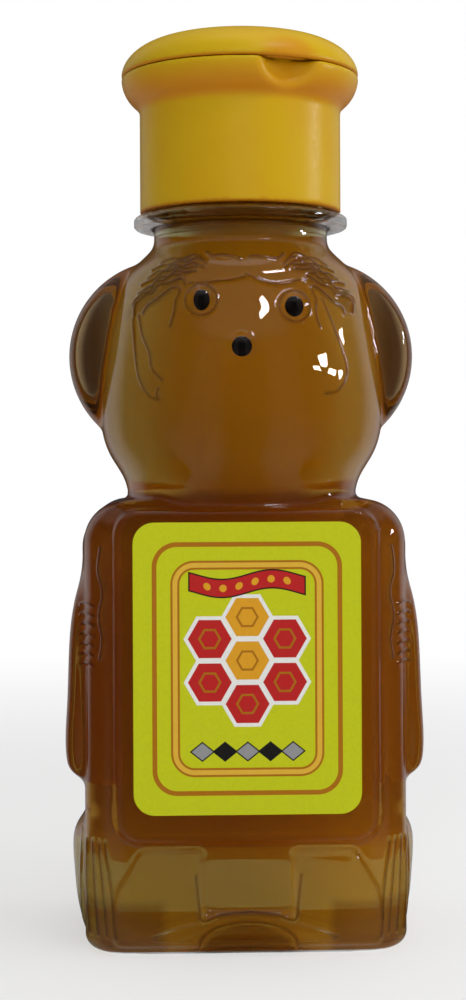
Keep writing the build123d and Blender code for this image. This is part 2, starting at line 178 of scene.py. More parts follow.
# The bear: sizes of the moulding, in millimetres
bear = {
    "wall": 0.6,
    "torsoHalf": (24.7, 18.1),
    "torsoCorner": 7.0,
    "torsoTop": 68.4,
    "shoulderRound": 6.4,
    "heelRound": 2.2,
    "panelHalf": (20.0, 25.15),
    "panelMiddle": 42.05,
    "panelCorner": 4.0,
    "panelFace": 19.3,
    "panelEdge": 1.3,
    "head": [
        (60.0, 17.6), (68.4, 18.0), (71.7, 18.8), (75.1, 20.8), (80.9, 22.4), (92.9, 21.4),
        (100.9, 19.6), (104.6, 17.6), (107.8, 14.4), (109.6, 13.6),
    ],
    "neck": 13.6,
    "earRadius": 15.4,
    "earThick": 10.4,
    "earRound": 5.0,
    "earCentre": (12.0, 91.0),
    "earDish": (8.4, 0.4, 2.5),  # radius, depth and round of the hollow
    "muzzle": ((0.0, -15.9, 87.0), (11.0, 8.5, 12.0)),
    "eyes": [(-6.6, 98.4), (7.2, 97.4)],
    "eyeRadius": 2.4,
    "eyeRise": 1.2,
    "nose": (-0.8, 91.2),
    "noseRadius": 2.2,
    "noseRise": 1.0,
    "skinSearch": (-15, -30, 301),  # the skin of the face is looked for from, to and in how many steps
    "arm": [
        (22.5, 18.0), (24.0, 22.0), (25.2, 24.9), (26.5, 26.7), (28.6, 27.6), (31.0, 27.75), (36.7, 27.5),
        (44.4, 27.2), (54.0, 26.0), (60.0, 24.7), (64.0, 22.8), (66.5, 19.0),
    ],
    "armHalfDepth": 12.5,
    "armEdge": 3.2,
    "leg": [
        (0.0, 25.4), (4.1, 26.2), (9.9, 26.9), (13.7, 27.1), (16.3, 26.7), (18.5, 25.2), (21.0, 21.0),
        (22.5, 18.0),
    ],
    "legHalfDepth": 22.0,
    "legInset": 1.0,
    "sole": (6.6, 20.0, 1.8, 16.2),
    "soleSlant": (4.0, 6.7),
    "soleFace": 19.3,
    "toeLip": 6.6,
    # how round the forms' joins are, in the order in which they are joined, and the edges
    "fillets": {"panel": 0.8, "head": 1.4, "arm": 1.2, "leg": 1.4, "toes": 0.7, "ear": 0.4, "muzzle": 3.0},
    "soleRounds": (1.2, 1.0, 1.0, 1.0, 0.9),  # plate, slant, lip, their join and the front edge
    "pushupEdge": 1.2,
    "bumpJoin": 0.7,
    "mouthEdge": 0.4,
    "ringEdge": 0.5,
    "neckJoins": (0.8, 0.3, 0.7),  # neck, thread and ring
    "roomRounds": (1.0, 1.2),  # under the neck, and where the bore joins
    "pushup": (15.0, 3.0),
    "ring": (17.0, 111.3, 113.1),
    "finish": 12.9,
    "mouth": 10.9,
    "mouthTop": 130.7,
    "neckFoot": 105.0,
    "roomTop": 109.3,
    "boreFoot": 100.0,
    "thread": (12.9, 13.9, 121.35, 4.2333, 1.5, 0.95, 0.45),  # base, crest, start, pitch, turns and widths
    "threadReach": 5.0,
    "fineNeck": (12.4, 109.5, 130.0),
    "honeyLevel": 115.1,
    "honeyGap": 0.02,
    "honeyEdge": 0.3,
}
headCurve = smoothCurve(bear["head"])
armCurve = smoothCurve(bear["arm"])
legCurve = smoothCurve(bear["leg"])


def bearField(x, y, z):
    b = bear
    wide = np.abs(x)
    rho = np.hypot(x, y)
    side = plate(x, y, *b["torsoHalf"], b["torsoCorner"])
    torso = np.where(
        z > b["torsoTop"] / 2,
        roundEdge(side, z - b["torsoTop"], b["shoulderRound"]),
        roundEdge(side, -z, b["heelRound"]),
    )
    panel = roundEdge(
        plate(x, z - b["panelMiddle"], *b["panelHalf"], b["panelCorner"]),
        np.abs(y) - b["panelFace"], b["panelEdge"],
    )
    radius, lean = along(headCurve, z)
    head = np.maximum((rho - radius) * lean, b["head"][0][0] - z)
    ear = roundEdge(
        np.hypot(wide - b["earCentre"][0], z - b["earCentre"][1]) - b["earRadius"],
        np.abs(y) - b["earThick"] / 2, b["earRound"],
    )
    dishRadius, dishDepth, dishRound = b["earDish"]
    dishBall = (dishRadius**2 + dishDepth**2) / (2 * dishDepth)
    dishCentre = (b["earCentre"][0], -(b["earThick"] / 2 + dishBall - dishDepth), b["earCentre"][1])
    ear = carve(ear, -ball(wide, y, z, dishCentre, dishBall), dishRound)
    reach, lean = along(armCurve, z)
    arm = roundEdge((wide - reach) * lean, np.abs(y) - b["armHalfDepth"], b["armEdge"])
    arm = np.maximum(arm, np.maximum(b["arm"][0][0] - z, z - b["arm"][-1][0]))
    reach, lean = along(legCurve, z)
    leg = (np.sqrt((x / reach) ** 2 + (y / b["legHalfDepth"]) ** 2) - 1) * reach * lean
    leg = np.maximum(leg, np.abs(y) - b["torsoHalf"][1] + b["legInset"])
    leg = np.maximum(leg, z - b["leg"][-1][0])
    leg = roundEdge(leg, -z, b["heelRound"])
    low, far, bottom, top = b["sole"]
    slantX, slantZ = b["soleSlant"]
    corner, slantRound, lipRound, join, edge = b["soleRounds"]
    slant = ((wide - far) * slantZ + (z - top + slantZ) * slantX) / math.hypot(slantX, slantZ)
    sole = plate(wide - (low + far) / 2, z - (bottom + top) / 2, (far - low) / 2, (top - bottom) / 2, corner)
    sole = carve(sole, slant, slantRound)
    lip = plate(x, z - (bottom + b["toeLip"]) / 2, far, (b["toeLip"] - bottom) / 2, lipRound)
    toes = roundEdge(blend(sole, lip, join), -y - b["soleFace"], edge)
    toes = np.maximum(toes, y)
    muzzle = egg(x, y, z, *b["muzzle"])
    forms = {"panel": panel, "head": head, "arm": arm, "leg": leg, "toes": toes, "ear": ear, "muzzle": muzzle}
    f = torso
    for name, fillet in b["fillets"].items():
        f = blend(f, forms[name], fillet)
    across, high = b["pushup"]
    dome = (across**2 + high**2) / (2 * high)
    f = carve(f, -ball(x, y, z, (0, 0, high - dome), dome), b["pushupEdge"])
    return np.maximum(f, -z)


def faceBumps():
    # centres of the moulded bumps of the eyes and the nose, on the skin of the face
    b = bear
    bumps = []
    places = [(eye, b["eyeRadius"], b["eyeRise"]) for eye in b["eyes"]]
    for (x, z), radius, rise in places + [(b["nose"], b["noseRadius"], b["noseRise"])]:
        y = np.linspace(*b["skinSearch"])
        skin = y[np.argmax(bearField(np.full_like(y, x), y, np.full_like(y, z)) > 0)]
        bumps.append(((x, skin - rise + radius, z), radius))
    return bumps


bumps = faceBumps()


def outerField(x, y, z):
    b = bear
    f = bearField(x, y, z)
    for centre, radius in bumps:
        f = blend(f, ball(x, y, z, centre, radius), b["bumpJoin"])
    rho = np.hypot(x, y)
    radius, bottom, top = b["ring"]
    middle = (bottom + top) / 2
    neck = rho - np.where(z < middle, b["neck"], b["finish"])
    neck = np.maximum(roundEdge(neck, z - b["mouthTop"], b["mouthEdge"]), b["neckFoot"] - z)
    ring = roundEdge(rho - radius, np.abs(z - middle) - (top - bottom) / 2, b["ringEdge"])
    low, pitch, turns = b["thread"][2:5]
    thread = threadField(x, y, z, *b["thread"])
    thread = np.maximum(thread, np.abs(z - low - 0.5 * turns * pitch) - b["threadReach"])
    for form, join in zip((neck, thread, ring), b["neckJoins"]):
        f = blend(f, form, join)
    return f


def innerField(x, y, z):
    # the room inside, a wall's thickness in from the skin, and the bore of the neck
    b = bear
    topRound, join = b["roomRounds"]
    room = carve(bearField(x, y, z) + b["wall"], z - b["roomTop"], topRound)
    bore = np.maximum(np.hypot(x, y) - b["mouth"], b["boreFoot"] - z)
    return blend(room, bore, join)


def honeyField(x, y, z):
    return carve(innerField(x, y, z) + bear["honeyGap"], z - bear["honeyLevel"], bear["honeyEdge"])


# Nets over the fields.
cellSizes = {"bottle": (0.8, 1.4), "honey": (0.9, 1.6), "haze": (1.3, 2.0), "cap": (0.42, 0.9)}
cellOf = {name: sizes[0] for name, sizes in cellSizes.items()}
bottleBox = ((-29, -26.2, -1.1), (29, 24, 132))
honeyBox = ((-29, -26, -1.1), (29, 24, 117))
netSet = {
    "probe": 0.05,  # how far apart a field is sampled for its slope, in cells
    "leastSlope": 0.2,
    "longestMove": 0.7,
    "rimFrom": 120,  # above this height the bottle's skins share their rim
    "relaxRounds": 4,
    "relaxShare": 0.6,
}


def settle(field, points, kinds, cell, rounds):
    # draws the points onto the surface of their field
    corners = np.array([(1, -1, -1), (-1, -1, 1), (-1, 1, -1), (1, 1, 1)], float)
    step = netSet["probe"] * cell
    for _ in range(rounds):
        samples = [field(points + step * corner, kinds) for corner in corners]
        grad = sum(s[:, None] * corner for s, corner in zip(samples, corners)) / (4 * step)
        value = sum(samples) / 4
        move = value[:, None] * grad / np.maximum((grad**2).sum(1), netSet["leastSlope"])[:, None]
        size = np.linalg.norm(move, axis=1, keepdims=True)
        points = points - move * np.minimum(1, netSet["longestMove"] * cell / np.maximum(size, 1e-9))
    return points


def cellCorners(sign):
    # true for each grid cell whose corners aren't all alike
    count = sign.shape
    total = np.zeros([c - 1 for c in count], np.int8)
    for i in (0, 1):
        for j in (0, 1):
            for k in (0, 1):
                total += sign[i:count[0] - 1 + i, j:count[1] - 1 + j, k:count[2] - 1 + k]
    return (total > 0) & (total < 8)


def netQuads(crossing, lowerSolid, axis, cells):
    # one quad around each crossed grid edge, as the numbers of the four cells that share the edge
    other = [a for a in range(3) if a != axis]
    cut = [slice(None)] * 3
    for a in other:
        cut[a] = slice(1, crossing.shape[a] - 1)
    spot = np.argwhere(crossing[tuple(cut)])
    for a in other:
        spot[:, a] += 1
    ring = []
    for du, dv in ((-1, -1), (0, -1), (0, 0), (-1, 0)):
        at = spot.copy()
        at[:, other[0]] += du
        at[:, other[1]] += dv
        ring.append(np.ravel_multi_index(at.T, cells))
    ring = np.stack(ring, 1)
    forward = lowerSolid[tuple(spot.T)] == (axis != 1)
    ring[~forward] = ring[~forward][:, ::-1]
    return ring


def netMesh(name, outer, low, high, cell, inner=None):
    # a net over the outer skin and, for a hollow piece, over the inner one
    axes = [np.arange(low[i], high[i] + cell, cell) for i in range(3)]
    grid = np.meshgrid(*axes, indexing="ij")
    solid = outer(*grid) < 0
    room = inner(*grid) < 0 if inner else np.zeros_like(solid)
    both = solid & ~room
    cells = tuple(c - 1 for c in solid.shape)
    rimZone = axes[2] > netSet["rimFrom"]
    shared = cellCorners(solid) & cellCorners(room) & rimZone[:-1]
    keys = []
    for axis in range(3):
        span = solid.shape[axis]
        lower = [np.take(s, range(span - 1), axis) for s in (solid, room, both)]
        upper = [np.take(s, range(1, span), axis) for s in (solid, room, both)]
        differ = [a != b for a, b in zip(lower, upper)]
        above = rimZone[:-1] if axis == 2 else rimZone
        skin = differ[0] & (differ[2] | ~above)
        lining = np.where(above, differ[2] & ~differ[0], differ[1])
        for kind, crossing, side in ((0, skin, lower[0]), (1, lining, ~lower[1])):
            ring = netQuads(crossing, side, axis, cells)
            keys.append(2 * ring + np.where(shared.ravel()[ring], 0, kind))
    keys = np.concatenate(keys)
    used, quads = np.unique(keys, return_inverse=True)
    quads = quads.reshape(-1, 4)
    place = np.array(np.unravel_index(used // 2, cells)).T
    points = np.array([axes[i][place[:, i]] for i in range(3)]).T + cell / 2
    kinds = used % 2 + 2 * shared.ravel()[used // 2]

    def field(p, kinds):
        value = np.empty(len(p))
        skin, lining, rim = kinds == 0, kinds == 1, kinds == 2
        value[skin] = outer(*p[skin].T)
        if lining.any():
            value[lining] = -inner(*p[lining].T)
            value[rim] = np.maximum(outer(*p[rim].T), -inner(*p[rim].T))
        return value

    ends = np.concatenate([quads[:, [i, (i + 1) % 4]] for i in range(4)])
    ends = np.concatenate([ends, ends[:, ::-1]])
    weight = np.bincount(ends[:, 0], minlength=len(points))
    points = settle(field, points, kinds, cell, 2)
    share = netSet["relaxShare"]
    for _ in range(netSet["relaxRounds"]):
        mean = np.stack([np.bincount(ends[:, 0], points[ends[:, 1], a]) for a in range(3)], 1)
        points = settle(field, (1 - share) * points + share * mean / weight[:, None], kinds, cell, 1)
    points = settle(field, points, kinds, cell, 3)
    thing = solidMesh(name, points * mm, quads)
    return thing, points, quads, kinds


def refine(thing, where, cuts):
    # splits the faces whose middle lies where it says, and hands back the new points in millimetres
    work = bmesh.new()
    work.from_mesh(thing.data)
    middles = np.array([face.calc_center_median() for face in work.faces]) / mm
    chosen = np.flatnonzero(where(*middles.T))
    work.faces.ensure_lookup_table()
    edges = {edge for index in chosen for edge in work.faces[index].edges}
    bmesh.ops.subdivide_edges(work, edges=list(edges), cuts=cuts, use_grid_fill=True)
    work.to_mesh(thing.data)
    work.free()
    return readPoints(thing)


def readPoints(thing):
    points = np.empty(3 * len(thing.data.vertices), np.float32)
    thing.data.vertices.foreach_get("co", points)
    return points.reshape(-1, 3).astype(float) / mm


def writePoints(thing, points):
    thing.data.vertices.foreach_set("co", (points * mm).astype(np.float32).ravel())
    thing.data.update()
    thing.data.shade_smooth()


def solidMesh(name, points, quads):
    mesh = bpy.data.meshes.new(name)
    mesh.vertices.add(len(points))
    mesh.vertices.foreach_set("co", points.astype(np.float32).ravel())
    mesh.loops.add(quads.size)
    mesh.loops.foreach_set("vertex_index", quads.astype(np.int32).ravel())
    mesh.polygons.add(len(quads))
    mesh.polygons.foreach_set("loop_start", np.arange(0, quads.size, 4, dtype=np.int32))
    mesh.update(calc_edges=True)
    mesh.shade_smooth()
    return stand(name, mesh)


def plainMesh(name, points, faces, *materials):
    mesh = bpy.data.meshes.new(name)
    mesh.from_pydata(points, [], faces)
    for material in materials:
        mesh.materials.append(material)
    return stand(name, mesh)


# Nodes for colours and patterns


def shader(material):
    return next(n for n in material.node_tree.nodes if n.bl_idname == "ShaderNodeBsdfPrincipled")


def newMaterial(name, **values):
    material = bpy.data.materials.new(name)
    material.use_nodes = True
    body = shader(material)
    for key, value in values.items():
        body.inputs[key.replace("_", " ")].default_value = value
    return material


def bareMaterial(name):
    material = newMaterial(name)
    material.node_tree.nodes.remove(shader(material))
    return material


def addNode(material, kind, values, **settings):
    # a new node whose sockets take fixed values or other nodes' outputs
    node = material.node_tree.nodes.new("ShaderNode" + kind)
    for key, value in settings.items():
        setattr(node, key, value)
    for key, value in values.items():
        if isinstance(value, bpy.types.NodeSocket):
            material.node_tree.links.new(value, node.inputs[key])
        else:
            node.inputs[key].default_value = value
    return node


def sendOut(material, result, slot="Surface"):
    material.node_tree.links.new(result, material.node_tree.nodes["Material Output"].inputs[slot])


def formula(material):
    # gives a function that adds one step of arithmetic to the material and hands back its output
    def step(operation, *values, clamp=False):
        node = addNode(material, "Math", dict(enumerate(values)), operation=operation, use_clamp=clamp)
        return node.outputs[0]

    return step


def squares(step, *sides):
    total = 0.0
    for side in sides:
        total = step("MULTIPLY_ADD", side, side, total)
    return total


def fromMiddle(step, value, pitch):
    # how far the value is from the middle of its pitch, as a share of the pitch
    return step("ABSOLUTE", step("SUBTRACT", step("FRACT", step("DIVIDE", value, pitch)), 0.5))


def mixColour(material, share, below, above):
    return addNode(material, "Mix", {0: share, 6: below, 7: above}, data_type="RGBA").outputs[2]


def mixInto(material, share, above):
    # lays a second shader over the material's own
    values = {0: share, 1: shader(material).outputs[0], 2: above}
    sendOut(material, addNode(material, "MixShader", values).outputs[0])


def placeOf(material):
    # the point's place on the resting part, in millimetres
    where = addNode(material, "TexCoord", {}).outputs["Object"]
    step = formula(material)
    split = addNode(material, "SeparateXYZ", {0: where})
    return where, [step("MULTIPLY", out, 1000.0) for out in split.outputs]


def noise(material, place, perMetre):
    return addNode(material, "TexNoise", {"Scale": perMetre, "Detail": 3.0, "Vector": place}).outputs["Fac"]


def range01(material, value, low, high, outLow=0.0, outHigh=1.0):
    values = {"From Min": low, "From Max": high, "To Min": outLow, "To Max": outHigh, "Value": value}
    return addNode(material, "MapRange", values, interpolation_type="SMOOTHSTEP").outputs["Result"]


def cloudy(material, place, perMetre, low, high, outLow=0.0, outHigh=1.0):
    # noise, and the same noise drawn over a range
    raw = noise(material, place, perMetre)
    return raw, range01(material, raw, low, high, outLow, outHigh)


def dress(material, colour, roughness=None, height=None, depth=0.0):
    # wires colour, roughness and fine relief into the shader
    wires = {"Base Color": colour, "Roughness": roughness}
    if height is not None:
        wires["Normal"] = addNode(material, "Bump", {"Distance": depth, "Height": height}).outputs[0]
    for key, value in wires.items():
        if value is not None:
            material.node_tree.links.new(value, shader(material).inputs[key])


# Clear moulding and the syrup inside it
clearSet = {
    "tint": (0.97, 0.965, 0.95, 1),
    # colour of the painted shade along the relief lines of the outer wall
    "lineShadeColour": (0.26, 0.17, 0.10, 1),
    # colour of the painted shade in the zones of the wetted wall
    "shadeTint": (0.49, 0.39, 0.31, 1),
    "ringClear": 0.42,  # share of light that goes straight through the thin carrying ring
    "ringOut": (14.0, 14.6),  # where the ring begins, outward and upward
    "ringUp": (110.4, 110.9),
    "index": 1.5,
    "roughness": 0.02,
}
# Where the painted shade on the wetted wall begins and is full, in millimetres, for the ears, torso, feet and
# furry brows
shadeZones = {
    "earAcross": (20.0, 23.5),
    "earUp": (77.0, 81.0),
    "torsoFrom": (18.0, 24.0),
    "torsoTo": (71.0, 68.5),
    "torsoShare": 0.45,
    "shoulderUp": (60.0, 66.5),
    "heelAcross": (11.5, 13.5),
    "heelDown": (9.5, 7.0),
    "footFront": (-10.0, -13.0),
    "dome": (7.4, 5.0),
    "domeEdge": (1.1, 0.8),
    "brow": (12.3, 101.0, 5.6, 2.5, 0.75),  # middle, half sizes and slope
    "browEdge": (1.25, 0.4, 0.0, 0.8),
    "browFront": (-6.0, -9.0),
}
honeySet = {
    "density": 100.0,
    "colour": (0.92, 0.66, 0.02, 1),
    "index": 1.02,
    "haze": 34.0,
    "hazeGlow": (1.0, 0.49, 0.03, 1),
    "hazeForward": 0.3,
    "hazeInset": 0.4,
    "coreHaze": 50.0,
    "coreInset": 0.8,
    "coreHead": ((0.0, 0.0, 90.0), (20.5, 20.5, 20.0)),
    "coreNeck": 106.0,
    "coreFeet": (15.0, 5.0),
}


def letLampsThrough(material, straight=0.0):
    # lamps shine on what lies behind the clear wall, and the syrup tints their light
    ray = addNode(material, "LightPath", {}).outputs["Is Shadow Ray"]
    share = formula(material)("MAXIMUM", ray, straight)
    mixInto(material, share, addNode(material, "BsdfTransparent", {}).outputs[0])
    return material


def outerWall():
    material = newMaterial(
        "clearMoulding", Base_Color=clearSet["tint"], Roughness=clearSet["roughness"], IOR=clearSet["index"],
        Transmission_Weight=1.0,
    )
    # painted shade: the outer wall is painted darker along the moulded relief lines
    lineShadeMask = addNode(material, "Attribute", {}, attribute_name="lineShadeMask").outputs["Fac"]
    colour = mixColour(material, lineShadeMask, clearSet["tint"], clearSet["lineShadeColour"])
    dress(material, colour)
    step = formula(material)
    _, (x, y, z) = placeOf(material)
    rho = step("SQRT", squares(step, x, y))
    out, up = range01(material, rho, *clearSet["ringOut"]), range01(material, z, *clearSet["ringUp"])
    return letLampsThrough(material, step("MULTIPLY", step("MULTIPLY", out, up), clearSet["ringClear"]))


def wettedWall():
    # the inside where syrup lies against it, with painted shade: the wall is painted darker over the ears,
    # torso and shoulders, heels, base dome and brows
    material = newMaterial("wettedWall", Roughness=0.0, IOR=1.0, Transmission_Weight=1.0)
    zones = shadeZones
    step = formula(material)
    _, (x, y, z) = placeOf(material)
    wide = step("ABSOLUTE", x)

    def ramp(value, zone):
        return range01(material, value, *zones[zone])

    def both(first, second):
        return step("MULTIPLY", first, second)

    ears = both(ramp(wide, "earAcross"), ramp(z, "earUp"))
    share = step("ADD", zones["torsoShare"], both(1 - zones["torsoShare"], ramp(z, "shoulderUp")))
    torso = both(both(ramp(z, "torsoFrom"), ramp(z, "torsoTo")), share)
    halfDome, highDome = zones["dome"]
    over, up = step("DIVIDE", x, halfDome), step("DIVIDE", z, highDome)
    dome = ramp(squares(step, over, up), "domeEdge")
    heels = both(ramp(wide, "heelAcross"), ramp(z, "heelDown"))
    feet = both(step("MAXIMUM", heels, dome), ramp(y, "footFront"))
    across, high, halfBrow, highBrow, slope = zones["brow"]
    over = step("SUBTRACT", wide, across)
    up = step("DIVIDE", step("ADD", step("SUBTRACT", z, high), both(over, slope)), highBrow)
    over = step("DIVIDE", over, halfBrow)
    brow = both(ramp(squares(step, over, up), "browEdge"), ramp(y, "browFront"))
    # painted shade: the darkest of the zones sets how much darker the wall is painted
    dark = step("MAXIMUM", step("MAXIMUM", ears, torso), step("MAXIMUM", feet, brow))
    deep = mixColour(material, dark, (1, 1, 1, 1), clearSet["shadeTint"])
    dress(material, deep)
    return letLampsThrough(material)


def honeyMaterial():
    syrup = newMaterial(
        "syrup", Base_Color=(1, 1, 1, 1), Roughness=0.0, IOR=honeySet["index"], Transmission_Weight=1.0,
    )
    values = {"Color": honeySet["colour"], "Density": honeySet["density"]}
    sendOut(syrup, addNode(syrup, "VolumeAbsorption", values).outputs[0], "Volume")
    return letLampsThrough(syrup)


# Fine relief of the moulding: lines on the front view, in millimetres, for fur, cheeks, arms and feet
relief = {
    "height": 0.26,
    "width": 0.22,
    "cell": 0.3,
    "curveSteps": 5,
    "tickSteps": 3,
    "tickRise": 0.35,
    "cheek": [
        [(-16.9, 96.2), (-16.6, 91.6), (-16.0, 87.1), (-14.6, 84.4), (-13.2, 83.6)],
        [(-16.0, 96.6), (-15.4, 93.4), (-14.4, 90.7), (-14.0, 88.3), (-12.5, 86.5)],
        [(-13.1, 85.3), (-13.3, 84.4), (-13.0, 83.6)],
    ],
    "fur": [
        [(-15.4, 96.8), (-14.5, 98.1), (-13.1, 99.0), (-11.3, 100.3), (-10.3, 100.5), (-9.8, 99.9),
         (-10.4, 98.5), (-10.7, 96.6), (-11.3, 94.6)],
        [(-16.7, 96.6), (-16.5, 98.5), (-14.9, 99.7), (-13.9, 99.9), (-13.0, 101.1), (-11.4, 101.3),
         (-9.6, 101.9), (-9.0, 100.9)],
        [(-16.1, 100.1), (-14.6, 100.8), (-13.8, 101.2), (-12.7, 102.4), (-11.5, 102.3), (-10.3, 103.2),
         (-9.0, 102.8), (-7.4, 103.0)],
        [(-14.6, 102.3), (-13.0, 103.3), (-12.0, 103.2), (-10.8, 104.1), (-9.4, 103.8), (-8.0, 104.3),
         (-6.2, 103.6)],
        [(-12.6, 104.6), (-10.9, 105.2), (-9.4, 104.9), (-7.6, 105.6), (-6.5, 105.0), (-5.9, 104.2)],
        [(-8.3, 101.1), (-6.6, 101.0), (-4.2, 101.3), (-2.0, 101.5), (-0.2, 101.9)],
        [(-5.6, 106.0), (-4.8, 105.4), (-3.4, 105.5), (-1.8, 105.2), (-0.6, 104.8)],
        [(-16.9, 98.3), (-16.4, 99.3), (-15.3, 100.0), (-14.2, 100.3), (-13.4, 101.6), (-12.2, 101.8),
         (-10.9, 102.6), (-9.8, 102.4)],
        [(-15.6, 101.4), (-14.4, 101.9), (-13.5, 102.2), (-12.6, 103.0), (-11.4, 103.2), (-10.0, 103.7),
         (-8.6, 103.5), (-7.2, 103.7)],
        [(-13.9, 103.6), (-12.4, 104.2), (-11.2, 104.2), (-10.0, 104.7), (-8.6, 104.5), (-7.4, 105.0),
         (-6.4, 104.6)],
    ],
    "rightCheek": [(11.6, 98.8), (13.4, 94.3), (15.4, 88.6), (14.1, 85.1), (11.9, 84.4)],
    "sway": 0.45,  # how far the mirrored lines wander from the drawn ones, and in what waves
    "swayWaves": ((0.9, 0.7), (0.4, 1.3)),
    "swayShare": (0.5, 1),
    "armLine": [(-21.9, 61.5), (-22.3, 58.0), (-21.6, 54.5), (-22.2, 51.0), (-21.7, 47.5), (-22.1, 44.5)],
    "armTicks": (23.0, 25.2, 43.5, 52.5, 7),  # from and to across, from and to upwards, count
    "legLines": (20.2, 25.2, 3.0, 17.0, 5),
    "legLean": 1.2,
    "legBow": 0.3,
    "soleArc": [(-7.6, 0.9), (-6.8, 3.1), (-4.4, 4.7), (0.0, 5.4), (4.4, 4.7), (6.8, 3.1), (7.6, 0.9)],
    "soleEdge": [(-7.9, 12.4), (-7.5, 8.6), (-7.0, 5.6), (-4.4, 6.2), (0.0, 6.5)],
    "eyeRing": 2.35,
    # the zones with relief: in front of, from and to across, from and to upwards
    "zones": [(-6, -1, 18.5, 82, 107.5), (-2, 20.5, 99, -9, 63), (-17, -1, 99, -9, 20)],
    "frontOf": (-2, -0.1, 109),  # how far forward, how far facing forward, and below what height
}


def throughPoints(points, steps=relief["curveSteps"]):
    # a smooth line through the points
    line = np.array(points, float)
    ends = np.vstack([2 * line[0] - line[1], line, 2 * line[-1] - line[-2]])
    out = []
    for a, b, c, d in zip(ends, ends[1:], ends[2:], ends[3:]):
        for t in np.arange(steps) / steps:
            square, cube = 2 * a - 5 * b + 4 * c - d, 3 * b - a - 3 * c + d
            out.append(0.5 * (2 * b + (c - a) * t + square * t**2 + cube * t**3))
    return np.array(out + [line[-1]])


def reliefLines():
    r = relief
    drawn = r["cheek"] + [r["rightCheek"], r["soleArc"]]
    lines = [throughPoints(points) for points in drawn]
    for points in r["fur"]:
        line = throughPoints(points)
        often, begin = r["swayWaves"]
        wander = r["sway"] * np.sin(line[:, ::-1] * often + begin)
        lines += [line, line * (-1, 1) + wander * r["swayShare"]]
    sides = [throughPoints(r["armLine"]), throughPoints(r["soleEdge"])]
    left, right, low, high, count = r["armTicks"]
    for z in np.linspace(low, high, count):
        tick = [(left, z), ((left + right) / 2, z + r["tickRise"]), (right, z)]
        sides.append(throughPoints(tick, r["tickSteps"]))
    left, right, low, high, count = r["legLines"]
    for x, lean in zip(np.linspace(left, right, count), np.linspace(r["legLean"], 0, count)):
        bow = r["legBow"]
        sides.append(throughPoints([(x + lean, high), (x + bow, (low + high) / 2), (x - bow * lean, low)]))
    for line in sides:
        lines += [line, line * (-1, 1)]
    turn = np.radians(np.arange(0, 361, 20))
    for eye in bear["eyes"]:
        lines.append(eye + r["eyeRing"] * np.stack([np.cos(turn), np.sin(turn)], 1))
    return lines


def lineDistance(x, z, lines):
    # distance in the front view from each point to the nearest line
    near = np.full(len(x), 9.0)
    for line in lines:
        low, high = line.min(0) - 1, line.max(0) + 1
        at = np.flatnonzero((x > low[0]) & (x < high[0]) & (z > low[1]) & (z < high[1]))
        for a, b in zip(line[:-1], line[1:]):
            run = b - a
            px, pz = x[at] - a[0], z[at] - a[1]
            t = np.clip((px * run[0] + pz * run[1]) / max(run @ run, 1e-9), 0, 1)
            near[at] = np.minimum(near[at], np.hypot(px - t * run[0], pz - t * run[1]))
    return near


def moulded(x, y, z):
    # where the front of the bottle carries fine relief
    wide, inZone = np.abs(x), np.zeros(len(x), bool)
    for front, near, far, low, high in relief["zones"]:
        inZone |= (y < front) & (wide > near) & (wide < far) & (z > low) & (z < high)
    return inZone & (np.abs(outerField(x, y, z)) < bear["wall"] / 2)


def neckZone(x, y, z):
    # the carrying ring and the thread, which need a finer net
    out, low, high = bear["fineNeck"]
    return (np.hypot(x, y) > out) & (z > low) & (z < high)


def onSkin(points):
    return np.abs(outerField(*points.T)) < np.abs(innerField(*points.T))


def carveRelief(bottle):
    for where, cuts in ((moulded, 2), (neckZone, 1)):
        before = len(bottle.data.vertices)
        points = refine(bottle, where, cuts)
        fresh = np.arange(len(points)) >= before
        skin = onSkin(points)
        for field, chosen in ((outerField, fresh & skin), (innerField, fresh & ~skin)):
            points[chosen] = settle(lambda p, _: field(*p.T), points[chosen], None, relief["cell"], 3)
        writePoints(bottle, points)
    normals = np.empty(3 * len(points), np.float32)
    bottle.data.vertices.foreach_get("normal", normals)
    normals = normals.reshape(-1, 3)
    forward, facing, below = relief["frontOf"]
    front = onSkin(points) & (points[:, 1] < forward) & (normals[:, 1] < facing) & (points[:, 2] < below)
    near = lineDistance(points[front, 0], points[front, 2], reliefLines())
    ridge = np.exp(-((near / relief["width"]) ** 2))
    points[front] += normals[front] * relief["height"] * ridge[:, None]
    writePoints(bottle, points)
    # how near each point lies to a relief line, kept for the painted shade along the lines
    depth = np.zeros(len(points), np.float32)
    depth[front] = ridge
    lineShadeMask = bottle.data.attributes.new("lineShadeMask", "FLOAT", "POINT")
    lineShadeMask.data.foreach_set("value", depth)


def makeBottle():
    cell = cellOf["bottle"]
    bottle, points, quads, kinds = netMesh("bottle_clear", outerField, *bottleBox, cell, innerField)
    for material in (outerWall(), wettedWall()):
        bottle.data.materials.append(material)
    wet = (kinds[quads] == 1).all(1) & (points[quads][:, :, 2].mean(1) < bear["honeyLevel"])
    bottle.data.polygons.foreach_set("material_index", wet.astype(np.int32))
    carveRelief(bottle)
    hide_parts("bottle", "bottle_neck")
    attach(bottle, "bottle")
    print("bottle", len(bottle.data.polygons), "faces")


def makeHoney():
    honey, _, quads, _ = netMesh("honey_fill", honeyField, *honeyBox, cellOf["honey"])
    honey.data.materials.append(honeyMaterial())
    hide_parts("honey")
    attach(honey, "bottle")
    print("honey", len(quads), "faces")


def hazeField(x, y, z):
    return honeyField(x, y, z) + honeySet["hazeInset"]


def coreField(x, y, z):
    # the middle of the head, the neck and the feet, where the syrup glows most
    top, soft = honeySet["coreFeet"]
    places = np.minimum(egg(x, y, z, *honeySet["coreHead"]), z - top)
    places = np.minimum(places, honeySet["coreNeck"] - z)
    return carve(honeyField(x, y, z) + honeySet["coreInset"], places, soft)


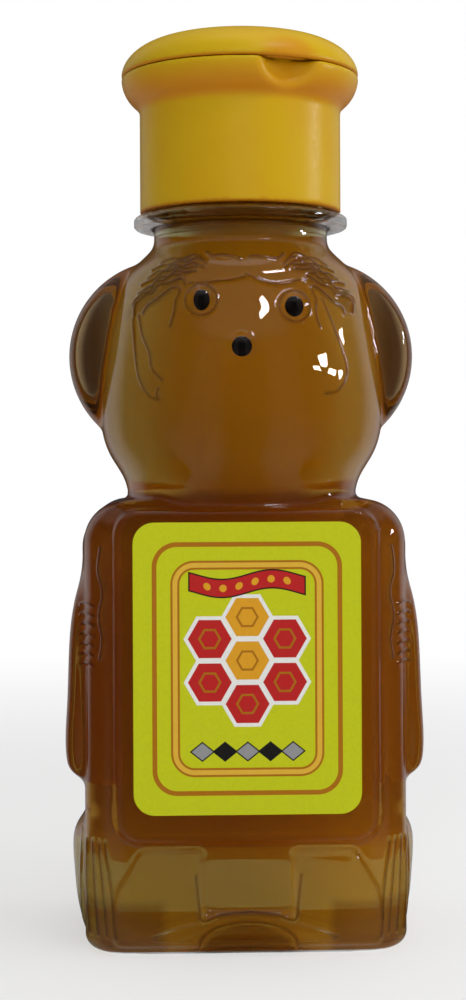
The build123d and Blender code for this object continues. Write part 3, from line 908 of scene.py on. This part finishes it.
def makeHaze(name, field, density):
    # the fine cloudiness of the syrup, which lets a thick part glow and leaves a thin one dark
    haze, _, quads, _ = netMesh(name, field, *honeyBox, cellOf["haze"])
    material = bareMaterial(name + "Cloud")
    values = {"Color": honeySet["hazeGlow"], "Density": density, "Anisotropy": honeySet["hazeForward"]}
    sendOut(material, addNode(material, "VolumeScatter", values).outputs[0], "Volume")
    haze.data.materials.append(material)
    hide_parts("honey")
    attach(haze, "bottle")
    print(name, len(quads), "faces")


makeBottle()
makeHoney()
makeHaze("honey_haze", hazeField, honeySet["haze"])
makeHaze("honey_core", coreField, honeySet["coreHaze"])

# Labels: printed sheets on the front and back panels
label = {
    "half": (17.1, 21.9),
    "middle": 43.3,
    "corner": 3.2,
    "face": 19.42,
    "back": 19.25,  # a little way into the wall, so that no air shows behind it
    "edgeRound": 0.04,
    "cornerSteps": 10,
    "yellow": (0.56, 0.60, 0.004, 1),
    "paper": (0.74, 0.70, 0.58, 1),
    "orange": (0.76, 0.45, 0.040, 1),
    "brown": (0.42, 0.15, 0.002, 1),
    "red": (0.515, 0.013, 0.013, 1),
    "white": (0.85, 0.84, 0.80, 1),
    "black": (0.012, 0.011, 0.011, 1),
    "grey": (0.30, 0.30, 0.31, 1),
    "gold": (0.753, 0.352, 0.013, 1),
    "speck": (0.1, 0.08, 0.02, 1),
    "specks": (2600.0, 0.35, 0.75, 0.0, 0.06),  # how fine, per metre, and the noise's range and shares
    "gloss": (700.0, 0.3, 0.7, 0.30, 0.42),
    "fibre": (1800.0, (0.70, 0.66, 0.54, 1), (0.80, 0.77, 0.66, 1)),
    "grain": 0.000004,
    "outerFrame": (13.9, 18.6, 3.4),
    "innerFrame": (10.8, 15.5, 2.9),
    "line": 0.36,  # half the width of a frame line, and of the broad one under it
    "broadLine": 0.68,
    "inkEdge": -14.0,  # how sharply ink ends, per millimetre
    "cell": 2.85,  # half the width of a honeycomb cell across its flats
    "cellGap": 0.8,
    "cellBorder": 0.55,
    "cellCore": (1.5, 0.16),  # how far in the drawn core is, and half its line
    "combMiddle": 1.2,
    "goldCells": (0, 2),
    "outline": 0.22,
    "ribbon": (12.7, 1.25, 8.6),  # height of its middle, and half sizes
    "wave": (0.42, 0.7),
    "studs": (2.4, 0.55, 7.2),  # pitch, radius and how far out they go
    "lozenges": (5, 3.4, -12.4, 0.72, 0.9, 1.15),  # count, pitch, height, slopes and size
    "textBox": (-3.0, 8.4, 10.0, 1.0),  # height, half sizes and corner
    "rules": (2.5, 0.045, 1.2),  # pitch, half a line as a share of it, and margin
    "backCells": (4.6, 11.4, 1.9, 0.3),  # pitch, height, half width and border
}


def sheetOutline(inset):
    halfU, halfV, corner = label["half"][0] - inset, label["half"][1] - inset, label["corner"] - inset
    points = []
    for signU, signV, begin in ((1, 1, 0), (-1, 1, 90), (-1, -1, 180), (1, -1, 270)):
        for i in range(label["cornerSteps"] + 1):
            angle = math.radians(begin + 90 * i / label["cornerSteps"])
            points.append((signU * (halfU - corner) + corner * math.cos(angle),
                           label["middle"] + signV * (halfV - corner) + corner * math.sin(angle)))
    return points


def makeLabel(name, node, side, printed):
    # side is -1 at the front and 1 at the back
    face, edge = label["face"], label["edgeRound"]
    loops = ((edge, face), (0.0, face - edge), (0.0, label["back"]))
    points = [(u * mm, side * y * mm, v * mm) for inset, y in loops for u, v in sheetOutline(inset)]
    count = len(points) // len(loops)
    faces = [tuple(range(count)), tuple(range(3 * count - 1, 2 * count - 1, -1))]
    for loop in range(2):
        for i in range(count):
            a, b = loop * count + i, loop * count + (i + 1) % count
            faces.append((a, a + count, b + count, b))
    if side > 0:
        faces = [face[::-1] for face in faces]
    sheet = plainMesh(name, points, faces, printed, paper)
    sheet.data.polygons[1].material_index = 1
    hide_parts(node)
    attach(sheet, "bottle")


def frameDistance(step, u, v, halfU, halfV, corner):
    du = step("SUBTRACT", step("ABSOLUTE", u), halfU - corner)
    dv = step("SUBTRACT", step("ABSOLUTE", v), halfV - corner)
    outU, outV = step("MAXIMUM", du, 0.0), step("MAXIMUM", dv, 0.0)
    far = step("SQRT", squares(step, outU, outV))
    near = step("MINIMUM", step("MAXIMUM", du, dv), 0.0)
    return step("SUBTRACT", step("ADD", far, near), corner)


def offsets(step, u, v, centreU, centreV):
    return step("ABSOLUTE", step("SUBTRACT", u, centreU)), step("ABSOLUTE", step("SUBTRACT", v, centreV))


def cellDistance(step, u, v, centreU, centreV, half):
    du, dv = offsets(step, u, v, centreU, centreV)
    slant = step("ADD", step("MULTIPLY", du, math.sqrt(3) / 2), step("MULTIPLY", dv, 0.5))
    return step("SUBTRACT", step("MAXIMUM", slant, dv), half)


def inked(material, colour, distance, *inks):
    # lays inks over the colour, each out to its own distance, with an edge as soft as print
    step = formula(material)
    for reach, ink in inks:
        share = step("MULTIPLY_ADD", step("SUBTRACT", distance, reach), label["inkEdge"], 0.5, clamp=True)
        colour = mixColour(material, share, colour, label[ink])
    return colour


def combCentres():
    pitch = 2 * label["cell"] + label["cellGap"]
    turns = [math.radians(30 + 60 * i) for i in range(6)]
    return [(0.0, 0.0)] + [(pitch * math.cos(turn), pitch * math.sin(turn)) for turn in turns]


def labelGround(name):
    # yellow ground with a single and a double frame line
    material = newMaterial(name, IOR=1.5, Specular_IOR_Level=0.25)
    step = formula(material)
    place, (u, _, z) = placeOf(material)
    v = step("SUBTRACT", z, label["middle"])
    outer = step("ABSOLUTE", frameDistance(step, u, v, *label["outerFrame"]))
    inner = step("ABSOLUTE", frameDistance(step, u, v, *label["innerFrame"]))
    colour = inked(material, label["yellow"], outer, (label["line"], "brown"))
    colour = inked(material, colour, inner, (label["broadLine"], "brown"), (label["line"], "orange"))
    return material, place, u, v, colour


def coatedPaper(material, place, colour):
    speck, share = cloudy(material, place, *label["specks"])
    colour = mixColour(material, share, colour, label["speck"])
    _, gloss = cloudy(material, place, *label["gloss"])
    dress(material, colour, gloss, speck, label["grain"])
    return material


def frontPrint():
    material, place, u, v, colour = labelGround("labelFront")
    step = formula(material)
    for index, (cu, cv) in enumerate(combCentres()):
        cell = cellDistance(step, u, v, cu, cv + label["combMiddle"], label["cell"])
        fill = "gold" if index in label["goldCells"] else "red"
        colour = inked(material, colour, cell, (label["cellBorder"], "white"), (0.0, fill))
        inset, halfLine = label["cellCore"]
        core = step("ABSOLUTE", step("ADD", cell, inset))
        colour = inked(material, colour, core, (halfLine, "brown"))
    # a waved ribbon above the comb, with a row of studs
    middle, halfHigh, halfWide = label["ribbon"]
    often, rise = label["wave"]
    across = step("ABSOLUTE", u)
    wave = step("MULTIPLY", step("SINE", step("MULTIPLY", u, often)), rise)
    up = step("SUBTRACT", v, step("ADD", wave, middle))
    ribbon = step("SUBTRACT", step("ABSOLUTE", up), halfHigh)
    ribbon = step("MAXIMUM", ribbon, step("SUBTRACT", across, halfWide))
    colour = inked(material, colour, ribbon, (label["outline"], "black"), (0.0, "red"))
    pitch, radius, far = label["studs"]
    stud = step("SQRT", squares(step, step("MULTIPLY", fromMiddle(step, u, pitch), pitch), up))
    stud = step("MAXIMUM", stud, step("SUBTRACT", across, far))
    colour = inked(material, colour, stud, (radius, "gold"))
    # dark and grey lozenges in a row below it
    count, pitch, middle, slopeU, slopeV, size = label["lozenges"]
    for index in range(count):
        du, dv = offsets(step, u, v, (index - count // 2) * pitch, middle)
        lozenge = step("ADD", step("MULTIPLY", du, slopeU), step("MULTIPLY", dv, slopeV))
        lozenge = step("SUBTRACT", lozenge, size)
        fill = "black" if index % 2 else "grey"
        colour = inked(material, colour, lozenge, (label["outline"], "black"), (0.0, fill))
    return coatedPaper(material, place, colour)


def backPrint():
    # a ruled box below three cells
    material, place, u, v, colour = labelGround("labelBack")
    step = formula(material)
    middle, *sizes = label["textBox"]
    box = frameDistance(step, u, step("SUBTRACT", v, middle), *sizes)
    colour = inked(material, colour, box, (0.0, "white"))
    pitch, halfLine, margin = label["rules"]
    rule = step("MULTIPLY", step("SUBTRACT", fromMiddle(step, v, pitch), halfLine), pitch)
    rule = step("MAXIMUM", rule, step("ADD", box, margin))
    colour = inked(material, colour, rule, (0.0, "brown"))
    pitch, middle, half, border = label["backCells"]
    for index in (-1, 0, 1):
        cell = cellDistance(step, u, v, index * pitch, middle, half)
        colour = inked(material, colour, cell, (border, "white"), (0.0, "gold" if index else "red"))
    return coatedPaper(material, place, colour)


def plainPaper():
    material = newMaterial("labelPaper", Base_Color=label["paper"], Roughness=0.7)
    place, _ = placeOf(material)
    perMetre, dark, pale = label["fibre"]
    fibre = noise(material, place, perMetre)
    dress(material, mixColour(material, fibre, dark, pale), None, fibre, label["grain"])
    return material


paper = plainPaper()
makeLabel("label_front", "front_label", -1, frontPrint())
makeLabel("label_rear", "back_label", 1, backPrint())
print("labels printed")

# Screw cap and flip lid, on one axis and turned a little to the bear's left
cap = {
    "turn": math.radians(22.5),
    "bottom": 113.8,
    "radius": 16.0,
    "bore": 14.7,
    "deckUnder": 131.5,
    "deckTop": 133.0,
    "parting": 135.3,
    "flare": (13.3, 5.6),
    "fillet": 0.9,
    "rim": 0.35,
    "collar": (14.7, 15.8, 136.1),
    "nozzle": (4.2, 3.0, 136.0),
    "thread": (14.7, 13.4, 120.165, 4.2333, 1.5, 0.95, 0.45),  # base, crest, start, pitch, turns and widths
    "threadDeep": 0.6,
    "scoop": ((0.0, -19.6, 135.6), (4.9, 3.7, 5.6)),
    "scoopSoft": 1.3,
    # how round the edges and joins are
    "capRounds": {"room": 0.5, "cup": 0.4, "deck": 0.25, "cupLip": 0.2, "collar": 0.3, "spout": 0.4,
                  "spoutFoot": 0.5, "spoutBore": 0.2},
    "lidRounds": {"shell": 0.2, "ring": 0.4, "foot": 0.3, "tip": 0.8, "plugFoot": 0.5},
    "skirtNet": (113.2, 137.0),
    "lidNet": (133.6, 142.2),
    "netHalf": 20,
    "lidGap": 0.12,
    "lidOverlap": 0.4,
    "lidTop": 141.3,
    "lidFlat": 9.9,
    "lidEdge": 9.0,
    "lidWall": 1.2,
    "lidRing": (16.0, 16.8),
    "plug": (2.9, 134.5),
    "lug": (7.0, 1.2, 1.2),
    "lugEdge": 0.2,
    "sunk": 0.5,  # how far collar and nozzle reach down into the deck
    "hingeReach": 19.25,
    "hingeGap": 0.25,
    "film": {"inset": 0.3, "overlap": 0.12, "under": 0.06, "thick": 0.22, "waist": 0.05, "rows": 9},
    # painted shade: under sides and the hollow round the scoop are painted amber
    "underside": (-0.75, 0.25),  # how a face points where the amber ends
    "scoopShade": (1.5, 3.0, 6.5, 0.75),  # amber round the scoop: how far below it, from, to and share
    "yellow": (0.60, 0.385, 0.003, 1),
    "amber": (0.58, 0.22, 0.003, 1),
    "clouds": (90.0, 0.35, 0.7, 0.0, 0.18),
    "satin": (1500.0, 0.3, 0.7, 0.30, 0.40),
    "grain": 0.000006,
}


def turned(x, y):
    c, s = math.cos(cap["turn"]), math.sin(cap["turn"])
    return c * x + s * y, c * y - s * x


def turnedBack(x, y):
    c, s = math.cos(cap["turn"]), math.sin(cap["turn"])
    return c * x - s * y, s * x + c * y


def lugField(x, y, z, side):
    wide, deep, tall = cap["lug"]
    middle = cap["parting"] + side * (cap["hingeGap"] + tall / 2)
    block = plate(x, y - cap["hingeReach"] + deep / 2, wide / 2, deep / 2, cap["lugEdge"])
    return np.maximum(block, np.abs(z - middle) - tall / 2)


def capField(x, y, z):
    c, rounds = cap, cap["capRounds"]
    x, y = turned(x, y)
    rho = np.hypot(x, y)
    middle, radius = c["flare"]
    rim = np.hypot(np.maximum(rho - middle, 0), z - c["parting"]) - radius
    rim = np.where(rho < middle, np.abs(z - c["parting"]) - radius, rim)
    f = blend(rho - c["radius"], rim, c["fillet"])
    f = carve(f, -egg(x, y, z, *c["scoop"]), c["scoopSoft"])
    f = roundEdge(f, z - c["parting"], c["rim"])
    f = np.maximum(f, c["bottom"] - z)
    room = roundEdge(rho - c["bore"], z - c["deckUnder"], rounds["room"])
    cup = roundEdge(rho - c["bore"], c["deckTop"] - z, rounds["cup"])
    f = carve(carve(f, -room, rounds["deck"]), -cup, rounds["cupLip"])
    inner, outer, top = c["collar"]
    below = c["deckTop"] - c["sunk"] - z
    collar = np.abs(rho - (inner + outer) / 2) - (outer - inner) / 2
    collar = roundEdge(collar, z - top, rounds["collar"])
    f = np.minimum(f, np.maximum(collar, below))
    outer, inner, top = c["nozzle"]
    spout = np.maximum(roundEdge(rho - outer, z - top, rounds["spout"]), below)
    f = carve(blend(f, spout, rounds["spoutFoot"]), inner - rho, rounds["spoutBore"])
    ridge = threadField(x, y, z, *c["thread"])
    f = np.minimum(f, np.maximum(ridge, rho - c["bore"] - c["threadDeep"]))
    return np.minimum(f, lugField(x, y, z, -1))


def lidField(x, y, z):
    c, rounds = cap, cap["lidRounds"]
    x, y = turned(x, y)
    rho = np.hypot(x, y)
    bottom = c["parting"] + c["lidGap"]

    def dome(inset):
        radii = (c["lidEdge"] - inset, c["lidTop"] - bottom - inset)
        return scaledBall((np.maximum(rho - c["lidFlat"], 0), z - bottom), radii)

    shell = carve(dome(0.0), -dome(c["lidWall"]), rounds["shell"])
    within = dome(c["lidOverlap"])
    inner, outer = c["lidRing"]
    ring = np.maximum(np.abs(rho - (inner + outer) / 2) - (outer - inner) / 2, within)
    shell = roundEdge(blend(shell, ring, rounds["ring"]), bottom - z, rounds["foot"])
    radius, tip = c["plug"]
    plug = np.maximum(roundEdge(rho - radius, tip - z, rounds["tip"]), within)
    return np.minimum(blend(shell, plug, rounds["plugFoot"]), lugField(x, y, z, 1))


def capPlastic(name):
    # satin moulding whose under sides and scoop hollow are painted more orange: painted shade for the light
    # that soaks through the translucent yellow
    material = newMaterial(name, IOR=1.49, Roughness=0.34, Specular_IOR_Level=0.22)
    step = formula(material)
    place, where = placeOf(material)
    # painted shade: faces that point down are painted amber
    facing = addNode(material, "TexCoord", {}).outputs["Normal"]
    upward = addNode(material, "SeparateXYZ", {0: facing}).outputs["Z"]
    colour = mixColour(material, range01(material, upward, *cap["underside"]), cap["amber"], cap["yellow"])
    # painted shade: the hollow round the scoop is painted amber, most just below the scoop
    _, scoopY, scoopZ = cap["scoop"][0]
    below, near, far, share = cap["scoopShade"]
    middle = (*turnedBack(0, scoopY), scoopZ - below)
    away = [step("SUBTRACT", value, other) for value, other in zip(where, middle)]
    away = step("SQRT", squares(step, *away))
    colour = mixColour(material, range01(material, away, near, far, share, 0.0), colour, cap["amber"])
    _, share = cloudy(material, place, *cap["clouds"])
    colour = mixColour(material, share, colour, cap["amber"])
    grain, satin = cloudy(material, place, *cap["satin"])
    dress(material, colour, satin, grain, cap["grain"])
    return material


def makeCapPiece(name, field, low, high, node, body, slot):
    half = cap["netHalf"]
    piece, _, quads, _ = netMesh(name, field, (-half, -half, low), (half, half, high), cellOf["cap"])
    piece.data.materials.append(capPlastic(name + "Yellow"))
    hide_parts(node)
    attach(piece, body)
    print(name, len(quads), "faces")


def makeHingeStrap():
    # the thin film between the two lugs, as a straight strap; on the real cap it bends as the lid opens
    film = cap["film"]
    half, gap = (cap["lug"][0] - film["inset"]) / 2, cap["hingeGap"] + film["overlap"]
    reach, thick = cap["hingeReach"] - film["under"], film["thick"]
    points = []
    for t in np.linspace(-1, 1, film["rows"]):
        waist = film["waist"] * math.cos(math.pi / 2 * t)
        for x, depth in ((-half, thick), (half, thick), (half, waist), (-half, waist)):
            points.append((*turnedBack(x * mm, (reach - depth) * mm), (cap["parting"] + gap * t) * mm))
    last = len(points) - 4
    faces = [(3, 2, 1, 0), tuple(range(last, last + 4))]
    for row in range(0, last, 4):
        for k in range(4):
            a, b = row + k, row + (k + 1) % 4
            faces.append((a, b, b + 4, a + 4))
    strap = plainMesh("hinge_strap", points, faces, capPlastic("hingeYellow"))
    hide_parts("hinge_web")
    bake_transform(strap)


makeCapPiece("cap_skirt", capField, *cap["skirtNet"], "cap_base", "cap", "cap_yellow")
makeCapPiece("lid_dome", lidField, *cap["lidNet"], "flip_lid", "lid", "lid_yellow")
makeHingeStrap()
print("cap made")

# Finishes of the pieces kept from the imported model
kept = {
    "ink": ((0.004, 0.002, 0.002, 1), (0.016, 0.007, 0.004, 1)),
    "inkThin": (900.0, 0.4, 0.8),
    "inkGloss": (0.3, 0.7, 0.22, 0.4),
    "inkGrain": 0.00001,
    "foam": ((0.74, 0.72, 0.66, 1), (0.84, 0.83, 0.79, 1)),
    "foamPatches": 400.0,
    "pores": (3000.0, 0.00006),  # how fine, per metre, and how deep
}


def inkMaterial():
    material = newMaterial("inkDot", Roughness=0.3, Specular_IOR_Level=0.1)
    place, _ = placeOf(material)
    thin, share = cloudy(material, place, *kept["inkThin"])
    gloss = range01(material, thin, *kept["inkGloss"])
    dress(material, mixColour(material, share, *kept["ink"]), gloss, thin, kept["inkGrain"])
    return material


def foamMaterial():
    material = newMaterial("linerFoam", Roughness=0.9)
    place, _ = placeOf(material)
    perMetre, deep = kept["pores"]
    pores = addNode(material, "TexVoronoi", {"Scale": perMetre, "Vector": place}).outputs["Distance"]
    patches = noise(material, place, kept["foamPatches"])
    dress(material, mixColour(material, patches, *kept["foam"]), None, pores, deep)
    return material


ink = inkMaterial()
for node, material in {"eye_left": ink, "eye_right": ink, "nose": ink, "cap_liner": foamMaterial()}.items():
    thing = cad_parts[node]
    thing.data.materials.clear()
    thing.data.materials.append(material)
print("kept pieces finished")

# Floor, world and lamps
studio = {
    "floorHalf": 3.0,
    "floorColour": (0.80, 0.80, 0.80, 1),
    "shadowReach": (0.10, 0.45),  # the floor is white to the camera past this
    "shadowKeep": 0.5,
    "roomLight": 0.36,
    "cloth": {
        "mat": 0.026, "inner": 0.06, "bend": 0.75, "wall": 0.95, "top": 1.1, "roof": (0.35, 1.25),
        "lift": 0.0005, "turns": 48, "bendSteps": 6,
        "dark": 0.04, "fade": (0.7, 1.1), "high": 0.3,
        # lighter at the four corners of the set, more so at the back
        "corner": 0.25, "gap": (0.10, 0.32), "gapLight": (0.12, 0.55), "frontToBack": (-0.2, 0.2),
    },
    "lampAim": (0, 0, 0.09),
    "lamps": {
        "windowUpper": {"place": (0.56, 0.02, 0.235), "size": (0.065, 0.048), "power": 0.35, "shines": True},
        "windowLower": {"place": (0.565, -0.045, 0.20), "size": (0.042, 0.02), "power": 0.1, "shines": True},
        "ceiling": {"place": (0.28, -0.30, 0.70), "size": (0.22, 0.05), "power": 0.9, "shines": True},
        "sideSoft": {"place": (0.70, -0.30, 0.40), "size": (0.5, 0.5), "power": 0.9, "shines": False},
        "frontSoft": {"place": (0.05, -0.85, 0.45), "size": (0.6, 0.6), "power": 2.3, "shines": False},
        "topSoft": {"place": (0.1, 0.1, 0.8), "size": (0.5, 0.5), "power": 1.7, "shines": False},
    },
}


def whiteToEye(material):
    # one for a ray from the camera, a reflection or a look through the clear wall, else nought
    ray = addNode(material, "LightPath", {})
    step = formula(material)
    seen = step("MAXIMUM", ray.outputs["Is Camera Ray"], ray.outputs["Is Glossy Ray"])
    return step("MAXIMUM", seen, ray.outputs["Is Transmission Ray"])


def makeFloor():
    # pale and matt beside the bottle, where it takes the shadow, and white further out
    material = newMaterial("floorPale", Base_Color=studio["floorColour"], Roughness=0.8)
    where = addNode(material, "TexCoord", {}).outputs["Object"]
    far = addNode(material, "VectorMath", {0: where}, operation="LENGTH").outputs["Value"]
    fade = range01(material, far, *studio["shadowReach"], studio["shadowKeep"])
    share = formula(material)("MULTIPLY", whiteToEye(material), fade)
    mixInto(material, share, addNode(material, "Emission", {"Strength": 1.0}).outputs[0])
    half = studio["floorHalf"]
    corners = [(-half, -half, 0), (half, -half, 0), (half, half, 0), (-half, half, 0)]
    plainMesh("floor", corners, [(0, 1, 2, 3)], material)


def makeWorld():
    # white wherever the camera, a reflection or the clear wall looks, and a softer light on everything
    world = bpy.data.worlds.new("studio")
    bpy.context.scene.world = world
    world.use_nodes = True
    back = world.node_tree.nodes["Background"]
    back.inputs["Color"].default_value = (1, 1, 1, 1)
    level = addNode(world, "Mix", {"Factor": whiteToEye(world), "A": studio["roomLight"], "B": 1.0})
    world.node_tree.links.new(level.outputs["Result"], back.inputs["Strength"])


def clothPaint():
    cloth = studio["cloth"]
    material = bareMaterial("clothDark")
    where = addNode(material, "TexCoord", {}).outputs["Object"]
    height = addNode(material, "SeparateXYZ", {0: where})
    around = addNode(material, "TexGradient", {0: where}, gradient_type="RADIAL").outputs["Fac"]
    corner = fromMiddle(formula(material), around, cloth["corner"])
    light = range01(material, height.outputs["Y"], *cloth["frontToBack"], *cloth["gapLight"])
    low = range01(material, corner, *cloth["gap"], light, cloth["dark"])
    level = range01(material, height.outputs["Z"], *cloth["fade"], low, cloth["high"])
    sendOut(material, addNode(material, "Emission", {"Strength": level}).outputs[0])
    return material


def makeCloth():
    # a dark cloth round the set, which only the clear wall and the shine show, so that glass has dark edges
    cloth = studio["cloth"]
    turns, lift, bend = cloth["turns"], cloth["lift"], cloth["bend"]
    run = [(out, lift) for out in (0.0, cloth["mat"], cloth["inner"], bend)]
    rise = cloth["wall"] - bend
    for a in np.linspace(0, math.pi / 2, cloth["bendSteps"] + 1)[1:]:
        run.append((bend + rise * math.sin(a), lift + rise * (1 - math.cos(a))))
    run += [(cloth["wall"], cloth["top"]), cloth["roof"]]
    angles = [2 * math.pi * j / turns for j in range(turns)]
    points = [(out * math.cos(a), out * math.sin(a), z) for out, z in run for a in angles]
    faces = []
    for row in range(0, len(points) - turns, turns):
        for j in range(turns):
            a, b = row + j, row + (j + 1) % turns
            faces.append((a, b, b + turns, a + turns))
    # the strip beside the bottle is left out where the clear wall looks, so that the feet glow
    strip, rest = faces[turns:2 * turns], faces[:turns] + faces[2 * turns:]
    material = clothPaint()
    for name, chosen in (("dark_cloth", rest), ("dark_strip", strip)):
        thing = plainMesh(name, points, chosen, material)
        for ray in ("camera", "diffuse", "shadow", "volume_scatter"):
            setattr(thing, "visible_" + ray, False)
        thing.visible_transmission = name == "dark_cloth"


def makeLamps():
    for name, lamp in studio["lamps"].items():
        data = bpy.data.lights.new(name, "AREA")
        data.shape = "RECTANGLE"
        data.size, data.size_y = lamp["size"]
        data.energy = lamp["power"]
        thing = stand(name, data)
        thing.location = lamp["place"]
        aim = Vector(studio["lampAim"]) - thing.location
        thing.rotation_euler = aim.to_track_quat("-Z", "Y").to_euler()
        thing.visible_glossy = lamp["shines"]
        thing.visible_transmission = False


makeFloor()
makeWorld()
makeCloth()
makeLamps()
print("studio lit")

scene = bpy.context.scene
scene.view_settings.view_transform = "Standard"
scene.cycles.max_bounces = 24
scene.cycles.volume_bounces = 4
scene.cycles.transmission_bounces = 20
scene.cycles.transparent_max_bounces = 16
scene.cycles.use_denoising = True
